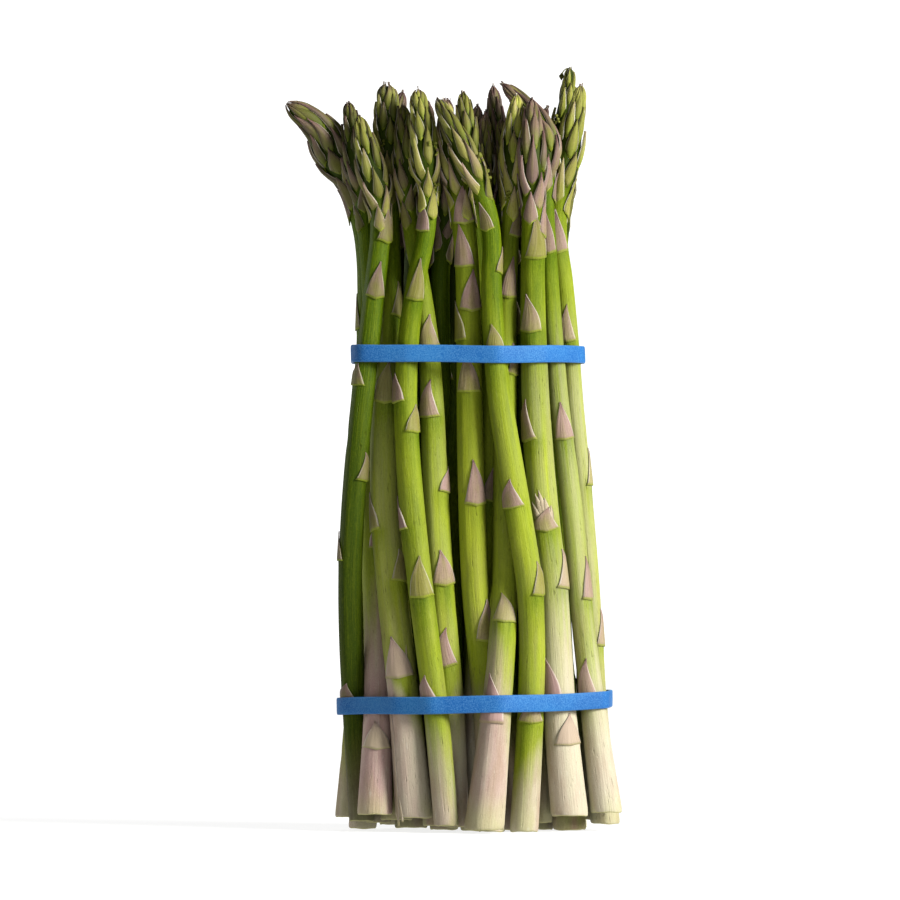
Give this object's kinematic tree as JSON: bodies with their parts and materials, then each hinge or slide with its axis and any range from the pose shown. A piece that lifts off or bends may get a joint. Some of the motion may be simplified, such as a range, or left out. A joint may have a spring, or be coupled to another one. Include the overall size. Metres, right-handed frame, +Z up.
{
  "type": "bundle of asparagus",
  "caption": "Upright bunch of fresh green asparagus spears with closed buds, standing on its cut ends and held by a rubber band near the top and another near the bottom.",
  "frame": {"origin": "on the floor, in the middle of the flat cut end of the spear at the heart of the bunch", "axes": "+Z up along the spears, +X along the bunch's wide side, to the right seen from its front, -Y towards its front"},
  "size_m": [0.1092, 0.0632, 0.249],
  "materials": {
    "spear": "satin skin, yellow-green in the middle, deeper green to mauve-brown on the buds, cream to pale mauve at the foot, with mauve-beige scale leaves",
    "band": "satin blue rubber with a fine grain"
  },
  "bodies": {
    "root": {"spear_a": "spear", "spear_l": "spear", "spear_b": "spear", "spear_c": "spear", "spear_d": "spear", "spear_e": "spear", "spear_f": "spear", "spear_n": "spear", "spear_m": "spear", "spear_g": "spear", "spear_h": "spear", "spear_i": "spear", "spear_j": "spear", "spear_k": "spear", "spear_1_1": "spear", "spear_1_2": "spear", "spear_1_3": "spear", "spear_2_1": "spear", "spear_2_2": "spear", "spear_2_3": "spear", "spear_2_4": "spear", "spear_2_5": "spear", "spear_2_6": "spear", "spear_2_7": "spear", "spear_3_1": "spear", "spear_3_2": "spear", "spear_3_3": "spear", "spear_3_4": "spear", "spear_3_5": "spear", "spear_3_6": "spear", "spear_3_7": "spear", "spear_4_1": "spear", "spear_4_2": "spear", "spear_4_3": "spear", "band_lower": "band", "band_upper": "band"}
  },
  "joints": []
}
